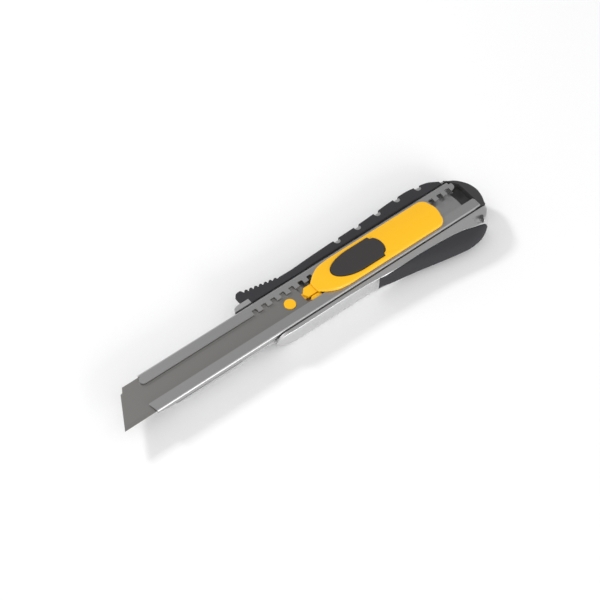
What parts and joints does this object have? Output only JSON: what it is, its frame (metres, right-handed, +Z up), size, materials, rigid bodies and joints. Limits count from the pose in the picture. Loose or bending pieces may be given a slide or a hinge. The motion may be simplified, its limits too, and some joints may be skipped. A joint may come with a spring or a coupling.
{
  "type": "utility knife",
  "caption": "Snap-off utility knife: sliding lock moves a segmented blade along a folded steel channel in a die-cast handle with rubber grips and a pull-off butt cap.",
  "frame": {"origin": "middle of the bounding box, on the underside of the flat back", "axes": "+X from the blade's tip to the butt, +Y to the spine side, +Z up out of the slider's face"},
  "size_m": [0.2, 0.0402, 0.0132],
  "materials": {
    "cast_metal": "satin die-cast, lightly blasted",
    "channel_steel": "rolled stainless sheet, fine lengthwise grain",
    "blade_steel": "ground carbon steel, fine crosswise grain",
    "spring_steel": "spring steel",
    "fastener_steel": "zinc plated steel",
    "black_rubber": "matte moulded rubber",
    "pad_rubber": "matte moulded rubber",
    "yellow_plastic": "semi-gloss moulded plastic",
    "black_plastic": "satin moulded plastic"
  },
  "bodies": {
    "handle": {"handle_casting": "cast_metal", "blade_channel": "channel_steel", "channel_rivets": "fastener_steel", "spine_grip": "black_rubber", "belly_grip": "black_rubber"},
    "slider": {"blade": "blade_steel", "blade_carrier": "yellow_plastic", "carrier_pins": "fastener_steel", "slider_carriage": "black_plastic", "slider_cover": "yellow_plastic", "cover_screws": "fastener_steel", "lock_spring": "spring_steel", "lock_spring_rivet": "fastener_steel", "drag_spring": "spring_steel"},
    "button": {"thumb_pad": "pad_rubber", "button_core": "black_plastic", "button_spring": "spring_steel"},
    "butt_cap": {"end_cap": "black_plastic", "cap_clip": "spring_steel"}
  },
  "joints": [
    {"name": "blade_slide", "type": "slide", "parent": "handle", "child": "slider", "axis": [-1, 0, 0], "range_m": [-0.02, 0.05], "deforming": ["lock_spring"]},
    {"name": "button_press", "type": "slide", "parent": "slider", "child": "button", "axis": [0, 0, -1], "range_m": [0, 0.0007], "stiffness_N_per_m": 300, "springref_m": -0.0005, "deforming": ["button_spring"]},
    {"name": "cap_pull", "type": "slide", "parent": "handle", "child": "butt_cap", "axis": [1, 0, 0], "range_m": [0, 0.022]}
  ]
}
